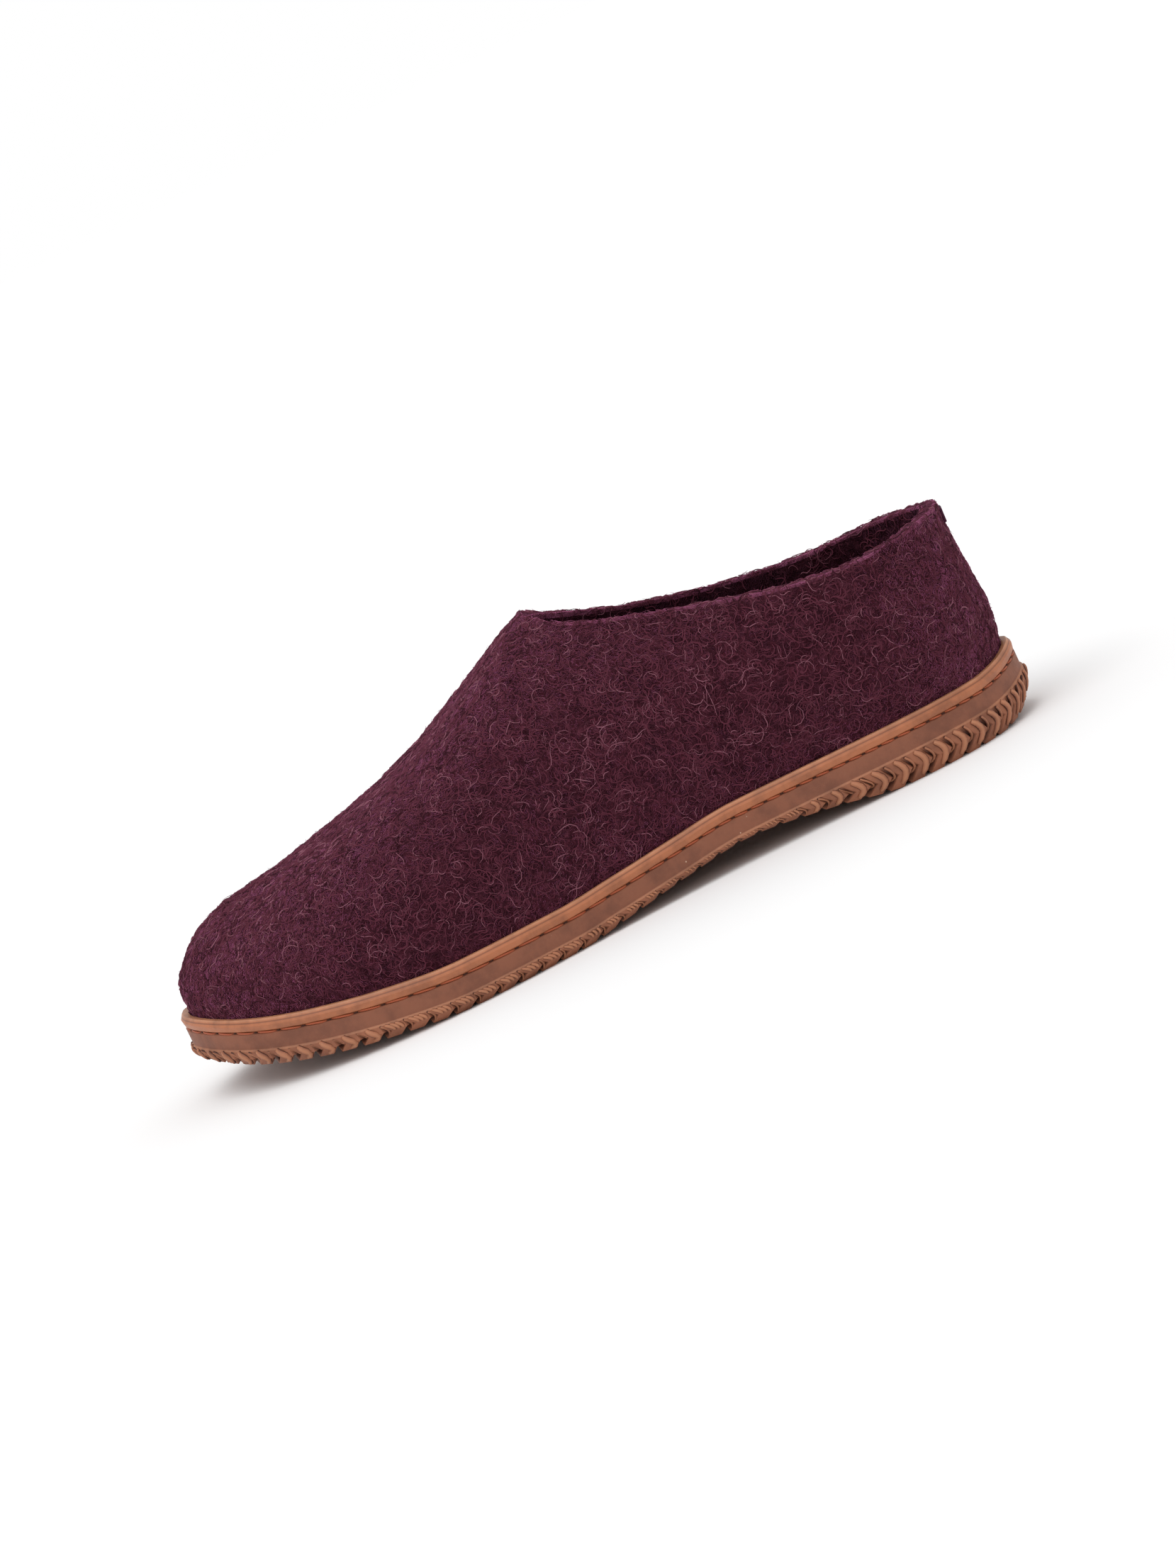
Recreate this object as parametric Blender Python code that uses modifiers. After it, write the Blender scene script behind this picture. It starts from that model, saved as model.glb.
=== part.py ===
"""A felted wool slipper, left foot: a felt upper sewn into a moulded rubber cup sole, an insole and a heel tab.

Shoe coordinates are along (from the heel's back to the toe), across (+ towards the medial side) and up.
In the scene the toe points to -X, the lateral side to -Y, and the sole stands on Z = 0.
"""

import math

import bmesh
import bpy
import numpy as np
from mathutils import Vector

MM = 0.001
GAP = 0.3 * MM

# Driving sizes
SOLE_LENGTH = 263.8 * MM
BALL_WIDTH = 98 * MM
INSTEP_HEIGHT = 89.4 * MM
HEEL_HEIGHT = 66 * MM
FELT_THICKNESS = 4.8 * MM
INSOLE_THICKNESS = 4 * MM

# Cup sole: heights above the ledge where the tread starts, and offsets from the outline
SIDEWALL_HEIGHT = 5.0 * MM
STITCH_GROOVE_HEIGHT = 1.2 * MM
STITCH_GROOVE_DEPTH = 0.9 * MM
RIM_HEIGHT = 3.4 * MM
RIM_THICKNESS = 2.6 * MM
RIM_BELLY = 0.25 * MM
LEDGE_STEP = 0.5 * MM
CUP_FLOOR = 3.0 * MM
RIM_TOP = SIDEWALL_HEIGHT + STITCH_GROOVE_HEIGHT + RIM_HEIGHT

# Tread: lugs along each half of the outline, heel to toe
LUGS = 46
LUG_PITCH_GROWTH = 0.07
GROOVE_SHARE = 0.19
GROOVE_DEPTH = 2.4 * MM
GROOVE_SHARE_OF_TREAD = 0.75
LUG_BELLY = 0.5 * MM
LUG_UNDERCUT = 1.6 * MM
LUG_RECESS = 2.0 * MM
LUG_SWEEP = 2.4 * MM
TREAD_CHEVRON = 5 * MM
SWEEP_FADE = 0.12

# Upper: ribs run from the cup floor up to the collar, or up to the ridge of the vamp
REAR_RIBS = 24
FRONT_RIBS = 20
RIB_ROWS = 12
THROAT_FOOT = 150 * MM
INSTEP_ARCH = 1.02
TOE_ARCH = 0.84
RIDGE_ANGLE = math.radians(90)
COLLAR_ANGLE = math.radians(42)
TOE_ANGLE = math.radians(72)
SMOOTHED_ABOVE = 36 * MM
SMOOTH_PASSES = 4
WALL_BULGE_REAR = 2.0 * MM
WALL_BULGE_FRONT = 1.8 * MM

# Heel tab: a folded strip on the back of the collar
TAB_WIDTH = 14 * MM
TAB_THICKNESS = 1.1 * MM
TAB_TOP = 0.955
TAB_BOTTOM = 0.86

# The sole's outline in plan, in shares of its length and of the ball width
OUTLINE = (
    # along, lateral, medial
    (0.030, 0.185, 0.185),
    (0.085, 0.300, 0.300),
    (0.175, 0.348, 0.345),
    (0.290, 0.352, 0.335),
    (0.420, 0.372, 0.325),
    (0.545, 0.428, 0.365),
    (0.655, 0.492, 0.440),
    (0.745, 0.505, 0.487),
    (0.835, 0.455, 0.485),
    (0.910, 0.350, 0.420),
    (0.965, 0.200, 0.300),
)
HEEL_TIP_ACROSS = 0.0
TOE_TIP_ACROSS = 0.065

# The sole from the side: the tread's underside and the height of the tread, in mm
SOLE_SIDE = (
    # along, underside, tread
    (0, 7.2, 4.8),
    (4, 3.6, 7.0),
    (10, 1.0, 8.2),
    (18, 0.0, 8.4),
    (47, 0.0, 8.3),
    (71, 3.8, 4.5),
    (96, 6.6, 1.7),
    (117, 4.5, 2.0),
    (137, 1.8, 3.0),
    (153, 0.0, 3.8),
    (185, 0.0, 4.0),
    (207, 1.6, 4.2),
    (227, 3.8, 4.6),
    (246, 7.2, 4.7),
    (264, 12.8, 3.8),
)

# The collar, from the heel's back to the throat, in mm
COLLAR = (
    # along, lateral, medial, lateral height, medial height
    (5.6, 12.5, 12.5, 65.4, 65.4),
    (13, 21.5, 21.5, 64.8, 65.1),
    (27, 28.6, 28.6, 64.0, 64.8),
    (43, 29.5, 30.0, 64.2, 65.0),
    (59, 26.8, 27.8, 66.4, 67.2),
    (75, 22.6, 24.2, 70.2, 70.2),
    (91, 19.4, 21.6, 74.5, 74.4),
    (105, 17.6, 20.2, 78.6, 78.9),
    (115, 15.2, 18.4, 82.2, 82.8),
    (121.4, 10.0, 13.6, 85.9, 86.4),
    (124.6, 4.4, 8.2, 88.5, 88.7),
)
COLLAR_BACK = 2.5 * MM
THROAT = 125.6 * MM
THROAT_ACROSS = 2.0 * MM

# The ridge of the vamp, from the throat down to the top of the toe, in mm
RIDGE = (
    # along, across, height
    (133, 2.3, 84.4),
    (149, 2.7, 74.4),
    (166, 3.1, 65.6),
    (183, 3.5, 59.4),
    (199, 4.0, 55.6),
    (213, 4.5, 53.4),
    (227, 5.0, 51.9),
    (240, 5.5, 49.8),
)



def cubic(knots, values, closed=False):
    """A smooth curve through points: returns a function of the knot coordinate."""
    knots = np.asarray(knots, float)
    values = np.asarray(values, float)
    steps = np.diff(knots)
    rises = np.diff(values, axis=0) / steps[:, None]
    count = len(knots) - 1 if closed else len(knots)
    system = np.zeros((count, count))
    right = np.zeros((count, values.shape[1]))
    for i in range(count):
        before, after = steps[i - 1], steps[i % len(steps)]
        if closed or 0 < i < count - 1:
            system[i, i - 1] += after
            system[i, i] += 2 * (before + after)
            system[i, (i + 1) % count] += before
            right[i] = 3 * (after * rises[i - 1] + before * rises[i % len(rises)])
        else:
            near = 0 if i == 0 else len(steps) - 1
            system[i, i] = 2
            system[i, 1 if i == 0 else i - 1] = 1
            right[i] = 3 * rises[near]
    slopes = np.linalg.solve(system, right)
    if closed:
        slopes = np.vstack((slopes, slopes[:1]))

    def at(where):
        i = int(np.clip(np.searchsorted(knots, where, side="right") - 1, 0, len(steps) - 1))
        t = (where - knots[i]) / steps[i]
        return (
            values[i] * (1 + 2 * t) * (1 - t) ** 2
            + values[i + 1] * t * t * (3 - 2 * t)
            + slopes[i] * steps[i] * t * (1 - t) ** 2
            - slopes[i + 1] * steps[i] * t * t * (1 - t)
        )

    return at


def level(table, column):
    """A column of a table as a function of along that keeps flat stretches flat and never overshoots."""
    along = np.array([row[0] for row in table]) * MM
    value = np.array([row[column] for row in table]) * MM
    rise = np.diff(value) / np.diff(along)
    slope = np.zeros(len(value))
    for i in range(1, len(value) - 1):
        if rise[i - 1] * rise[i] > 0:
            slope[i] = 2 / (1 / rise[i - 1] + 1 / rise[i])
    slope[0], slope[-1] = rise[0], rise[-1]

    def at(where):
        where = min(max(where, along[0]), along[-1])
        i = int(np.clip(np.searchsorted(along, where) - 1, 0, len(rise) - 1))
        step = along[i + 1] - along[i]
        t = (where - along[i]) / step
        return (
            value[i] * (1 + 2 * t) * (1 - t) ** 2
            + value[i + 1] * t * t * (3 - 2 * t)
            + slope[i] * step * t * (1 - t) ** 2
            - slope[i + 1] * step * t * t * (1 - t)
        )

    return at


def path(points, closed=False, samples=1200):
    """Even samples along a smooth curve through points, with the length reached at each sample."""
    points = np.asarray(points, float)
    if closed:
        points = np.vstack((points, points[:1]))
    knots = np.concatenate(([0], np.cumsum(np.linalg.norm(np.diff(points, axis=0), axis=1))))
    curve = cubic(knots, points, closed)
    line = np.array([curve(k) for k in np.linspace(0, knots[-1], samples)])
    reached = np.concatenate(([0], np.cumsum(np.linalg.norm(np.diff(line, axis=0), axis=1))))
    return line, reached


def along_path(line, reached, distance):
    return np.array([np.interp(distance, reached, line[:, i]) for i in range(line.shape[1])])


def smooth(t):
    t = min(max(t, 0.0), 1.0)
    return t * t * (3 - 2 * t)


class Edge:
    """One half of the sole's outline, from the heel's tip to the toe's tip."""

    def __init__(self, line, side):
        self.line = line
        self.side = side
        self.reached = np.concatenate(([0], np.cumsum(np.linalg.norm(np.diff(line, axis=0), axis=1))))
        self.length = self.reached[-1]

    def at(self, distance, outward=0.0):
        """The point at a distance from the heel's tip, moved outward from the outline."""
        distance = min(max(distance, 0.0), self.length)
        point = along_path(self.line, self.reached, distance)
        reach = 0.5 * MM
        ahead = along_path(self.line, self.reached, min(distance + reach, self.length))
        behind = along_path(self.line, self.reached, max(distance - reach, 0.0))
        forward = (ahead - behind) / np.linalg.norm(ahead - behind)
        if distance in (0.0, self.length):
            forward = np.array((0.0, 1.0 if distance == 0.0 else -1.0)) * self.side
        normal = np.array((-forward[1], forward[0])) * self.side
        return point + normal * outward

    def distance_at(self, along):
        return float(np.interp(along, self.line[:, 0], self.reached))


def make_edges():
    """The lateral and the medial half of the outline."""
    heel = (0.0, HEEL_TIP_ACROSS * BALL_WIDTH)
    toe = (SOLE_LENGTH, TOE_TIP_ACROSS * BALL_WIDTH)
    lateral = [(a * SOLE_LENGTH, -w * BALL_WIDTH) for a, w, _ in OUTLINE]
    medial = [(a * SOLE_LENGTH, w * BALL_WIDTH) for a, _, w in OUTLINE]
    line, _ = path([heel, *lateral, toe, *reversed(medial)], closed=True, samples=4001)
    first = int(np.argmin(line[:, 0]))
    line = np.roll(line[:-1], -first, axis=0)
    turn = int(np.argmax(line[:, 0]))
    back = np.vstack((line[:1], line[:turn - 1:-1]))
    return Edge(line[:turn + 1], -1), Edge(back, 1)


LATERAL, MEDIAL = make_edges()
UNDERSIDE = level(SOLE_SIDE, 1)
TREAD = level(SOLE_SIDE, 2)
CENTRE_ALONG = (LATERAL.line[0, 0] + LATERAL.line[-1, 0]) / 2
CENTRE_ACROSS = (LATERAL.line[:, 1].min() + MEDIAL.line[:, 1].max()) / 2


def ledge(along):
    return UNDERSIDE(along) + TREAD(along)


def floor_height(along):
    return ledge(along) + CUP_FLOOR


def place(along, across, up):
    """Shoe coordinates to the scene's."""
    return Vector((CENTRE_ALONG - along, across - CENTRE_ACROSS, up))


def mesh_object(name, bm, material):
    bmesh.ops.remove_doubles(bm, verts=bm.verts, dist=GAP / 100)
    bmesh.ops.dissolve_degenerate(bm, edges=bm.edges, dist=GAP / 100)
    bmesh.ops.recalc_face_normals(bm, faces=bm.faces)
    mesh = bpy.data.meshes.new(name)
    bm.to_mesh(mesh)
    bm.free()
    mesh.materials.append(material)
    mesh.shade_smooth()
    mesh.set_sharp_from_angle(angle=math.radians(35))
    obj = bpy.data.objects.new(name, mesh)
    SLIPPER.objects.link(obj)
    return obj


def loft(bm, rows, closed_rows):
    """Quads between neighbouring rows of points; each row is a ring where closed_rows is true."""
    grid = [[bm.verts.new(point) for point in row] for row in rows]
    for first, second in zip(grid, grid[1:]):
        count = len(first) if closed_rows else len(first) - 1
        for i in range(count):
            j = (i + 1) % len(first)
            bm.faces.new((first[i], first[j], second[j], second[i]))


def make_material(name, colour, roughness):
    material = bpy.data.materials.new(name)
    material.use_nodes = True
    shader = material.node_tree.nodes["Principled BSDF"]
    shader.inputs["Base Color"].default_value = (*colour, 1)
    shader.inputs["Roughness"].default_value = roughness
    shader.inputs["Metallic"].default_value = 0
    material.diffuse_color = (*colour, 1)
    return material


def tread_stations():
    """Shares of the half outline, each with 1 on a lug and 0 at the bottom of a groove."""

    def share(lugs):
        reached = lugs / LUGS
        return reached + LUG_PITCH_GROWTH * reached * (reached - 1)

    stations = [(0.0, 1.0)]
    for i in range(1, LUGS):
        stations += [
            (share(i - GROOVE_SHARE), 1.0),
            (share(i), 0.0),
            (share(i + GROOVE_SHARE), 1.0),
        ]
    return stations + [(1.0, 1.0)]


def sole_profile(edge, share, lug):
    """One side of the sole's section, from under the foot out to the tread's edge and up to the cup floor."""
    distance = share * edge.length
    fade = smooth(share / SWEEP_FADE) * smooth((1 - share) / SWEEP_FADE)
    along = edge.at(distance)[0]
    tread = TREAD(along)
    groove = (1 - lug) * min(GROOVE_DEPTH, GROOVE_SHARE_OF_TREAD * tread)
    recess = (1 - lug) * LUG_RECESS * min(1.0, tread / (4 * MM))
    sweep = LUG_SWEEP * fade * min(1.0, tread / (6 * MM))

    def point(shift, outward, height_above_underside=None, height_above_ledge=None):
        spot = edge.at(distance + shift, outward)
        if height_above_ledge is None:
            return (*spot, UNDERSIDE(spot[0]) + height_above_underside)
        return (*spot, ledge(spot[0]) + height_above_ledge)

    groove_top = SIDEWALL_HEIGHT + STITCH_GROOVE_HEIGHT
    return [
        point(sweep * 0.6, -LUG_UNDERCUT - recess, height_above_underside=groove),
        point(-sweep, LUG_BELLY - recess, height_above_underside=tread * 0.5),
        point(0, LEDGE_STEP, height_above_ledge=0),
        point(0, 0, height_above_ledge=LEDGE_STEP),
        point(0, 0, height_above_ledge=SIDEWALL_HEIGHT),
        point(0, -STITCH_GROOVE_DEPTH, height_above_ledge=SIDEWALL_HEIGHT + STITCH_GROOVE_HEIGHT / 2),
        point(0, 0, height_above_ledge=groove_top),
        point(0, RIM_BELLY, height_above_ledge=groove_top + RIM_HEIGHT * 0.45),
        point(0, -RIM_THICKNESS * 0.3, height_above_ledge=RIM_TOP),
        point(0, -RIM_THICKNESS, height_above_ledge=RIM_TOP),
        point(0, -RIM_THICKNESS, height_above_ledge=CUP_FLOOR),
    ]


def sole_ring(share, lug):
    """A whole section of the sole: the underside, the lateral side, the cup floor and the medial side."""
    lateral = sole_profile(LATERAL, share, lug)
    medial = sole_profile(MEDIAL, share, lug)
    fade = smooth(share / SWEEP_FADE) * smooth((1 - share) / SWEEP_FADE)
    low_left, low_right = np.array(lateral[0]), np.array(medial[0])
    rise = low_left[2] - UNDERSIDE(low_left[0])

    def under(mix, chevron):
        along, across = low_left[:2] * (1 - mix) + low_right[:2] * mix
        along += chevron * fade
        return (along, across, UNDERSIDE(along) + rise)

    top_left, top_right = np.array(lateral[-1]), np.array(medial[-1])
    middle = (top_left + top_right) / 2
    middle[2] = floor_height(middle[0])
    ring = [under(0.5, TREAD_CHEVRON), under(0.25, TREAD_CHEVRON * 0.4), *lateral]
    ring += [tuple(middle), *reversed(medial), under(0.75, TREAD_CHEVRON * 0.4)]
    return [place(*point) for point in ring]


def make_outsole(material):
    bm = bmesh.new()
    loft(bm, [sole_ring(share, lug) for share, lug in tread_stations()], closed_rows=True)
    return mesh_object("outsole", bm, material)


def make_top_line():
    """Each half's collar from the heel's back to the throat, and the ridge from the throat to the toe."""
    back = (COLLAR_BACK, 0.0, HEEL_HEIGHT)
    throat = (THROAT, THROAT_ACROSS, INSTEP_HEIGHT)
    lateral = [(a * MM, -w * MM, h * MM) for a, w, _, h, _ in COLLAR]
    medial = [(a * MM, w * MM, h * MM) for a, _, w, _, h in COLLAR]
    around, _ = path([back, *lateral, throat, *reversed(medial)], closed=True, samples=4001)
    turn = int(np.argmin(np.linalg.norm(around - np.array(throat), axis=1)))
    halves = (around[:turn + 1], around[:turn - 1:-1])
    lengths = [np.concatenate(([0], np.cumsum(np.linalg.norm(np.diff(h, axis=0), axis=1)))) for h in halves]
    ridge = path([throat, *((a * MM, c * MM, h * MM) for a, c, h in RIDGE)])
    return list(zip(halves, lengths)), ridge


COLLAR_HALVES, VAMP_RIDGE = make_top_line()


def rib(edge, step):
    """One rib of the felt's outer face, from the cup floor to the collar or to the ridge."""
    foot = edge.distance_at(THROAT_FOOT)
    line, reached = COLLAR_HALVES[0 if edge.side < 0 else 1]
    if step <= REAR_RIBS:
        part = step / REAR_RIBS
        distance = part * foot
        top = along_path(line, reached, part * reached[-1])
        angle = COLLAR_ANGLE + (RIDGE_ANGLE - COLLAR_ANGLE) * max(0.0, (part - 0.6) / 0.4) ** 2
        bulge = WALL_BULGE_REAR
        arch = INSTEP_ARCH
    else:
        part = (step - REAR_RIBS) / FRONT_RIBS
        distance = foot + part * (edge.length - foot)
        line, reached = VAMP_RIDGE
        top = along_path(line, reached, part * reached[-1])
        angle = RIDGE_ANGLE + (TOE_ANGLE - RIDGE_ANGLE) * smooth((part - 0.45) / 0.55)
        bulge = WALL_BULGE_REAR + (WALL_BULGE_FRONT - WALL_BULGE_REAR) * smooth(part * 1.6)
        arch = INSTEP_ARCH + (TOE_ARCH - INSTEP_ARCH) * smooth(part)
    inset = RIM_THICKNESS + GAP
    start = edge.at(distance, -inset)
    outward = edge.at(distance, 1.0 - inset) - start
    low = floor_height(start[0]) + GAP
    rim = ledge(start[0]) + RIM_TOP + GAP
    first = math.asin(((rim - low) / (top[2] - low)) ** (1 / arch) * math.sin(angle))
    points = [(start[0], start[1], low)]
    for row in range(RIB_ROWS):
        share = row / (RIB_ROWS - 1)
        turn = first + (angle - first) * share
        sideways = (1 - math.cos(turn) ** arch) / (1 - math.cos(angle) ** arch)
        upward = math.sin(turn) ** arch / math.sin(angle) ** arch
        swell = bulge * math.sin(math.pi * share ** 0.7)
        spot = start + (top[:2] - start) * sideways + outward * swell
        points.append((spot[0], spot[1], low + (top[2] - low) * upward))
    return points


def make_upper(material):
    bm = bmesh.new()
    for edge in (LATERAL, MEDIAL):
        ribs = [rib(edge, step) for step in range(REAR_RIBS + FRONT_RIBS + 1)]
        loft(bm, [[place(*point) for point in points] for points in ribs], closed_rows=False)
    bmesh.ops.remove_doubles(bm, verts=bm.verts, dist=GAP / 100)
    inside = [vert for vert in bm.verts if not vert.is_boundary and vert.co.z > SMOOTHED_ABOVE]
    for _ in range(SMOOTH_PASSES):
        bmesh.ops.smooth_vert(bm, verts=inside, factor=0.5, use_axis_x=True, use_axis_y=True, use_axis_z=True)
    upper = mesh_object("upper", bm, material)
    wall = upper.modifiers.new("felt wall", "SOLIDIFY")
    wall.thickness = FELT_THICKNESS
    wall.offset = -1
    wall.use_even_offset = True
    return upper


def make_insole(material):
    inset = RIM_THICKNESS + GAP + FELT_THICKNESS + 2 * GAP
    stations = 36
    rounding = 0.8 * MM
    rows = []
    for i in range(stations + 1):
        ring = []
        sides = []
        for edge in (LATERAL, MEDIAL):
            distance = edge.length * i / stations
            sides.append((edge.at(distance, -inset), edge.at(distance, -inset - rounding)))
        (left, left_in), (right, right_in) = sides
        middle = (left + right) / 2
        middle_in = (left_in + right_in) / 2
        bottom, shoulder, top = GAP, GAP + INSOLE_THICKNESS - rounding, GAP + INSOLE_THICKNESS
        for spot, height in (
            (middle, bottom), (left, bottom), (left, shoulder), (left_in, top),
            (middle_in, top), (right_in, top), (right, shoulder), (right, bottom),
        ):
            ring.append(place(spot[0], spot[1], floor_height(spot[0]) + height))
        rows.append(ring)
    bm = bmesh.new()
    loft(bm, rows, closed_rows=True)
    return mesh_object("insole", bm, material)


def make_heel_tab(material):
    """A strip lying on the back of the heel just under the collar's edge."""
    rows = []
    columns = 6
    for i in range(columns + 1):
        reach = TAB_WIDTH * (i / columns - 0.5)
        edge = LATERAL if reach < 0 else MEDIAL
        foot = edge.distance_at(THROAT_FOOT)
        step = abs(reach) / foot * REAR_RIBS
        points = np.array(rib(edge, step))
        share = np.linspace(0, 1, RIB_ROWS + 1)
        outward = edge.at(abs(reach), 1.0) - edge.at(abs(reach))
        ring = []
        for height, proud in (
            (TAB_BOTTOM, GAP), (TAB_BOTTOM, GAP + TAB_THICKNESS),
            (TAB_TOP, GAP + TAB_THICKNESS), (TAB_TOP, GAP),
        ):
            spot = np.array([np.interp(height, share, points[:, c]) for c in range(3)])
            spot[:2] += outward * proud
            ring.append(place(*spot))
        rows.append(ring)
    bm = bmesh.new()
    loft(bm, rows, closed_rows=True)
    bmesh.ops.holes_fill(bm, edges=bm.edges, sides=4)
    return mesh_object("heel_tab", bm, material)


def clear_scene():
    for obj in list(bpy.data.objects):
        bpy.data.objects.remove(obj)


clear_scene()
SLIPPER = bpy.data.collections.new("wool_slipper")
bpy.context.scene.collection.children.link(SLIPPER)
FELT = make_material("plum felt", (0.085, 0.022, 0.045), 0.95)
RUBBER = make_material("honey rubber", (0.42, 0.17, 0.06), 0.55)
LINING = make_material("insole felt", (0.05, 0.016, 0.03), 0.95)
RIBBON = make_material("tab ribbon", (0.03, 0.008, 0.018), 0.8)
make_outsole(RUBBER)
make_upper(FELT)
make_insole(LINING)
make_heel_tab(RIBBON)
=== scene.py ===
"""Looks for the wool slipper: plum felt with loose fibres on a honey-coloured stitched rubber sole."""

import math

import bmesh
import bpy
import numpy as np
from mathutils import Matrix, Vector
from mathutils.bvhtree import BVHTree
from mathutils.kdtree import KDTree


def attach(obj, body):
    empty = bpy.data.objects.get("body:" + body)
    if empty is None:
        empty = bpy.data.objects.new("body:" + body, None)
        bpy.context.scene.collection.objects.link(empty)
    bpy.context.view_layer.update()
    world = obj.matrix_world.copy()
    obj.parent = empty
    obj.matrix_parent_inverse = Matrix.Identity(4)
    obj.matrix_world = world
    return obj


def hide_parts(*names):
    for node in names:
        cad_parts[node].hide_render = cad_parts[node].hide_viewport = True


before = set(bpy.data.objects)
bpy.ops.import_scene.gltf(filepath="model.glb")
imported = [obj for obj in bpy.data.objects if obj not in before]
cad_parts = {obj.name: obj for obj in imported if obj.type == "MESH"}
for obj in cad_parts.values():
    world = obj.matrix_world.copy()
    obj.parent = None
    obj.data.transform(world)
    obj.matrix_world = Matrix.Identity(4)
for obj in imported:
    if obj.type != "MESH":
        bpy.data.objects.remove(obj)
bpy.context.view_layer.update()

MM = 0.001
RANDOM = np.random.default_rng(7)

# The shoe's own sizes: heights above the tread's ledge in mm, and the middle line inside the shoe
HEEL_BACK_X = 131.9 * MM
SIDEWALL_TOP = 5.0
STITCH_LINE = 5.6
RIM_FOOT = 6.2
RIM_TOP = 9.6
UPPER_AXIS_SIDE = 3 * MM
UPPER_AXIS_HEIGHT = 35 * MM
SOLE_AXIS_SIDE = 1 * MM
AXIS_ENDS = (-82 * MM, 92 * MM)

# How the triangles of a CAD node are joined back into quads
MERGE_DISTANCE = 0.001 * MM
QUAD_FACE_ANGLE = math.radians(35)
QUAD_SHAPE_ANGLE = math.radians(75)

# The sole from the side: the height of the underside and of the tread above it, in mm
SOLE_SIDE = (
    # along, underside, tread
    (0, 7.2, 4.8),
    (4, 3.6, 7.0),
    (10, 1.0, 8.2),
    (18, 0.0, 8.4),
    (47, 0.0, 8.3),
    (71, 3.8, 4.5),
    (96, 6.6, 1.7),
    (117, 4.5, 2.0),
    (137, 1.8, 3.0),
    (153, 0.0, 3.8),
    (185, 0.0, 4.0),
    (207, 1.6, 4.2),
    (227, 3.8, 4.6),
    (246, 7.2, 4.7),
    (264, 12.8, 3.8),
)

# Camera, from the photo: angles in degrees, pixels of the 1659 wide picture
PHOTO_WIDTH = 1659
PHOTO_HEIGHT = 2212
ELEVATION = 8.3
TURN_TO_TOE = 3.0
ROLL = 25.4
DISTANCE = 1.4
PIXELS_PER_MM = 4.89
AIM_HEIGHT = 40 * MM
AIM_PIXEL = (806.4, 1093.2)
SENSOR = 36.0

# Studio
FLOOR_RADIUS = 60.0
FLOOR_CORNERS = 64
FLOOR_COLOUR = (0.9, 0.9, 0.9)
FLOOR_ROUGHNESS = 0.9
OVERHEAD_STRENGTH = 1.1
OVERHEAD_WIDTH = math.radians(50)
OVERHEAD_DIRECTION = (0.25, 0.35, -1.0)
AMBIENT_STRENGTH = 0.85
SEEN_WHITE = 1.0

# Felt
FELT_DARK = (0.0225, 0.0045, 0.0080)
FELT_PLUM = (0.0660, 0.0126, 0.0216)
FELT_STRAND = (0.1300, 0.0340, 0.0550)
# Painted highlight for the collar's rounded edge, in the wool's sheen colour
FELT_EDGE_HIGHLIGHT = (0.2700, 0.0780, 0.1500)
INSOLE_DARK = (0.0750, 0.0200, 0.0340)
INSOLE_PLUM = (0.1700, 0.0560, 0.0860)
INSOLE_STRAND = (0.2200, 0.0850, 0.1200)
# Painted shade: how much darker the felt is made inside the shoe
INSIDE_SHADE = 0.45
FELT_ROUGHNESS = 0.95
FELT_GLOSS = 0.05
FELT_RELIEF = (1.0, 0.6 * MM)
WOOL_SHEEN = (0.70, 0.20, 0.41)
WOOL_SHEEN_ROUGHNESS = 0.2
FULL_SHEEN = 1.0
INSIDE_SHEEN = 0.3
CUT_SHEEN = 0.4
INSOLE_SHEEN = 0.03
FIBRE_DARK = (0.0360, 0.0076, 0.0132)
FIBRE_PLUM = (0.1180, 0.0285, 0.0470)
FIBRE_PALE = (0.2750, 0.1080, 0.1450)
FIBRE_ROUGHNESS = 0.7
FIBRE_GLOSS = 0.06
PLUM_TONE = 0.6

# Patterns in the felt: scale per mm, detail, roughness and how far they wander; then how they are spread
CLUMP_NOISE = (0.13, 4.0, 0.68, 0.6)
CLUMP_SPREAD = (0.34, 0.68)
FUZZ_NOISE = (2.2, 3.0, 0.7)
PIT_NOISE = (0.55, 2.5, 0.6)
PIT_SPREAD = (0.47, 0.36, 0.0, 0.8)
PATCH_NOISE = (0.5, 2.0, 0.6)
PATCH_SPREAD = (0.38, 0.66, 0.15, 0.8)
NOISE_MIDDLE = 0.5
STRAND_DETAIL = (0.6, 0.5)
STRAND_RELIEF = 0.6
FUZZ_RELIEF = 0.4
STRAND_SHIFT = (1.0, 0.7, 1.3)

# Curled strands drawn in the felt's material: size per mm, shift, width and how far they wander
STRAND_LAYERS = (
    # scale, shift, width, distortion
    (0.30, 0.0, 0.045, 1.4),
    (0.42, 37.0, 0.055, 1.1),
    (0.58, 71.0, 0.065, 0.9),
    (0.80, 113.0, 0.075, 0.7),
)

# The upper's faces, the collar's cut edge and the felt's lumps
OUTSIDE, INSIDE, CORNER, CUT = range(4)
COLLAR_ABOVE = 55 * MM
COLLAR_ANGLE = math.radians(50)
COLLAR_ROUNDING = 0.5 * MM
CUT_LEVELLING = 1.5 * MM
UPPER_SMOOTHING = 2
RIM_CLEARANCE = 1.0
RIM_BLEND = 4.0
FELT_LUMPS = (
    # name, size, strength
    ("handmade waves", 22 * MM, 1.1 * MM),
    ("matted lumps", 3.2 * MM, 0.55 * MM),
)
LUMP_DETAIL = 2

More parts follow.
